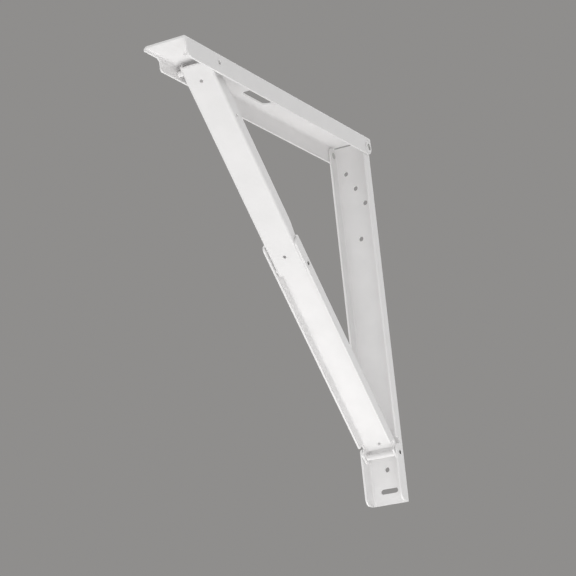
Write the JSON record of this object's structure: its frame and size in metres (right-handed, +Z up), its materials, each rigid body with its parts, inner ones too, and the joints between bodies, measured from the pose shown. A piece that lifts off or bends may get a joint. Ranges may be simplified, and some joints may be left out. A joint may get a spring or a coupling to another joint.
{
  "type": "drop leaf table bracket",
  "caption": "Triangular folding bracket of nested sheet steel channels: a wall rail and a table arm hinged at the corner, braced by a strut with a locking knee.",
  "frame": {"origin": "on the rail's wall face, on the middle plane, at the height of the corner hinge", "axes": "+Z up the rail, +Y into the wall, -Y out along the table arm, X along the corner hinge"},
  "size_m": [0.0494, 0.391, 0.4],
  "materials": {
    "white_coat": "smooth white powder coat, satin",
    "rivet_coat": "thin white coat over hollow steel rivets"
  },
  "bodies": {
    "rail": {"wall_rail": "white_coat", "corner_hinge_rivet": "rivet_coat", "lower_pivot_rivet": "rivet_coat"},
    "lower_strut": {"lower_strut": "white_coat", "knee_rivet": "rivet_coat"},
    "upper_strut": {"upper_strut": "white_coat"},
    "arm": {"table_arm": "white_coat", "upper_pivot_rivet": "rivet_coat", "corner_cap_left": "rivet_coat", "corner_cap_right": "rivet_coat"}
  },
  "joints": [
    {"name": "strut_fold", "type": "hinge", "parent": "rail", "child": "lower_strut", "pos_m": [0, -0.011, -0.336], "axis": [-1, 0, 0], "range_deg": [0, 43.72]},
    {"name": "knee_fold", "type": "hinge", "parent": "lower_strut", "child": "upper_strut", "pos_m": [0, -0.17653, -0.1629], "axis": [1, 0, 0], "range_deg": [0, 180.5]},
    {"name": "arm_fold", "type": "hinge", "parent": "upper_strut", "child": "arm", "pos_m": [0, -0.332, 0.0025], "axis": [-1, 0, 0], "range_deg": [0, 46.78]}
  ],
  "couplings": [
    {"joint": "knee_fold", "follows": "strut_fold", "ratio": 4.1284},
    {"joint": "arm_fold", "follows": "strut_fold", "ratio": 1.0698}
  ]
}
